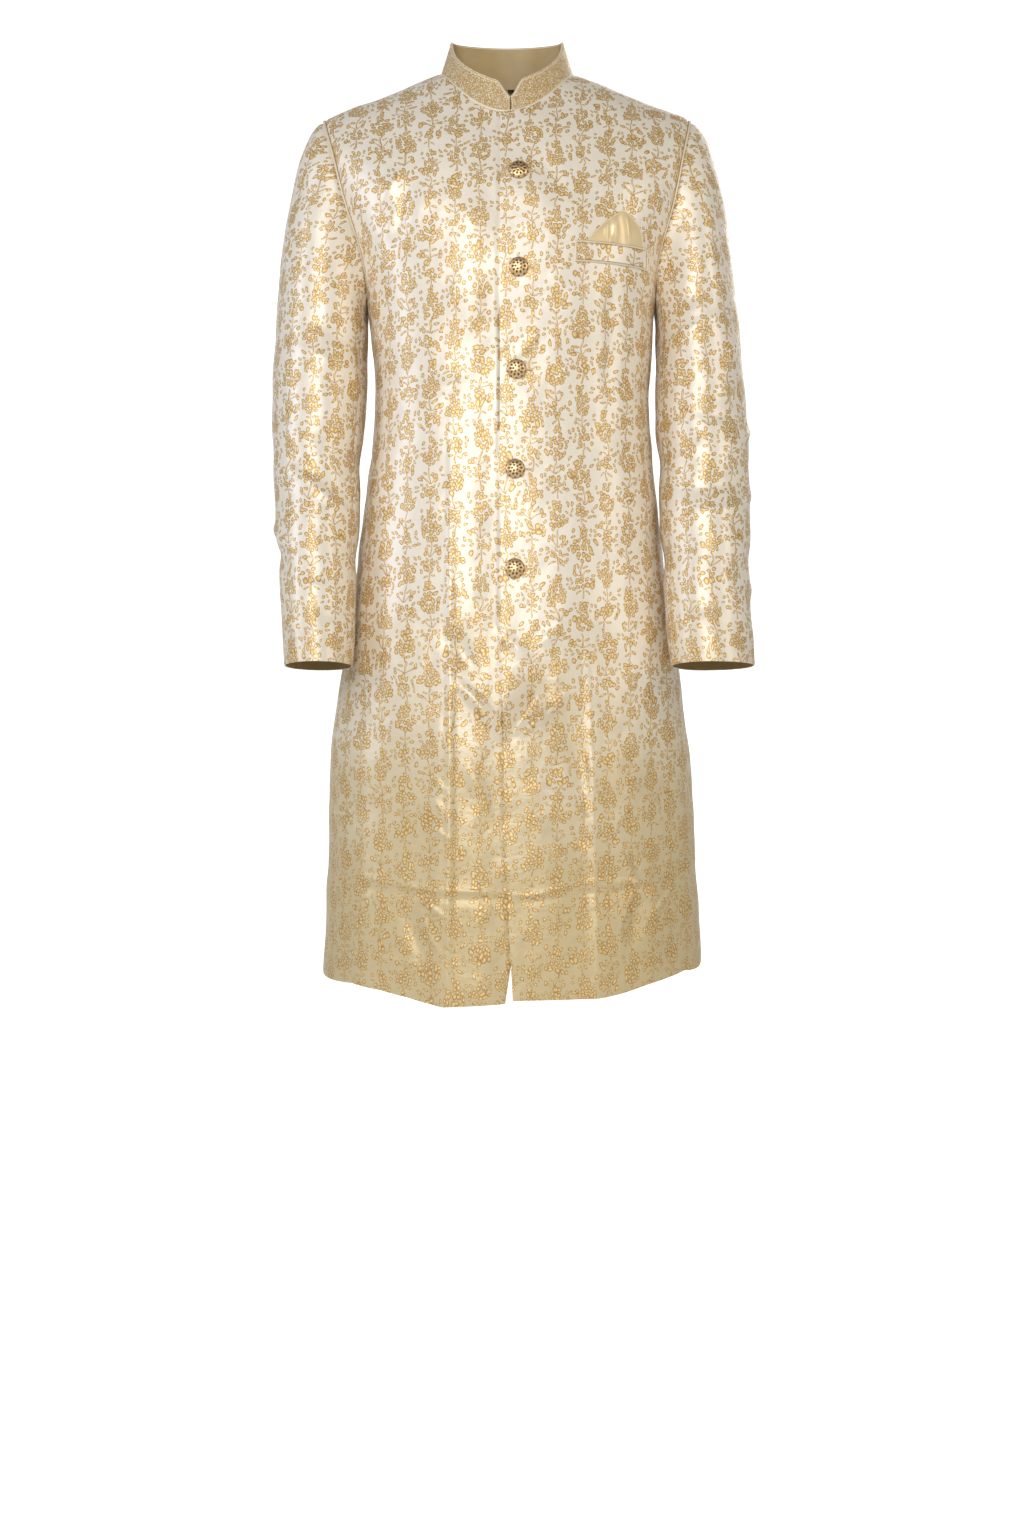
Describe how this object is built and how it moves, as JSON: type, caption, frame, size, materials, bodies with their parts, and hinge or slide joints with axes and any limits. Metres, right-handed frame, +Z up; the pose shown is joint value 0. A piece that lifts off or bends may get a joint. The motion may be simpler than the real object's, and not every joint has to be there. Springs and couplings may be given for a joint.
{
  "type": "sherwani coat",
  "caption": "Knee-length lapped coat with stand collar, long sleeves, welt pocket and domed buttons, filled out as worn, open at neck, cuffs and hem.",
  "frame": {"origin": "midway between the two high shoulder points, where the shoulder seams meet the neck and the wearer's shoulders carry the coat", "axes": "+Z up, the front faces -Y, the wearer's left is +X"},
  "size_m": [0.5789, 0.3119, 1.1739],
  "materials": {
    "brocade": "satin-ground jacquard brocade",
    "collar_embroidery": "dense metallic thread embroidery",
    "satin": "smooth satin",
    "button_metal": "antique gold, cast"
  },
  "bodies": {
    "root": {"front_left": "brocade", "front_right": "brocade", "back_left": "brocade", "back_right": "brocade", "sleeve_left_top": "brocade", "sleeve_left_under": "brocade", "sleeve_right_top": "brocade", "sleeve_right_under": "brocade", "collar": "collar_embroidery", "pocket_welt": "brocade", "pocket_square": "satin", "button_1": "button_metal", "button_2": "button_metal", "button_3": "button_metal", "button_4": "button_metal", "button_5": "button_metal"}
  },
  "joints": []
}
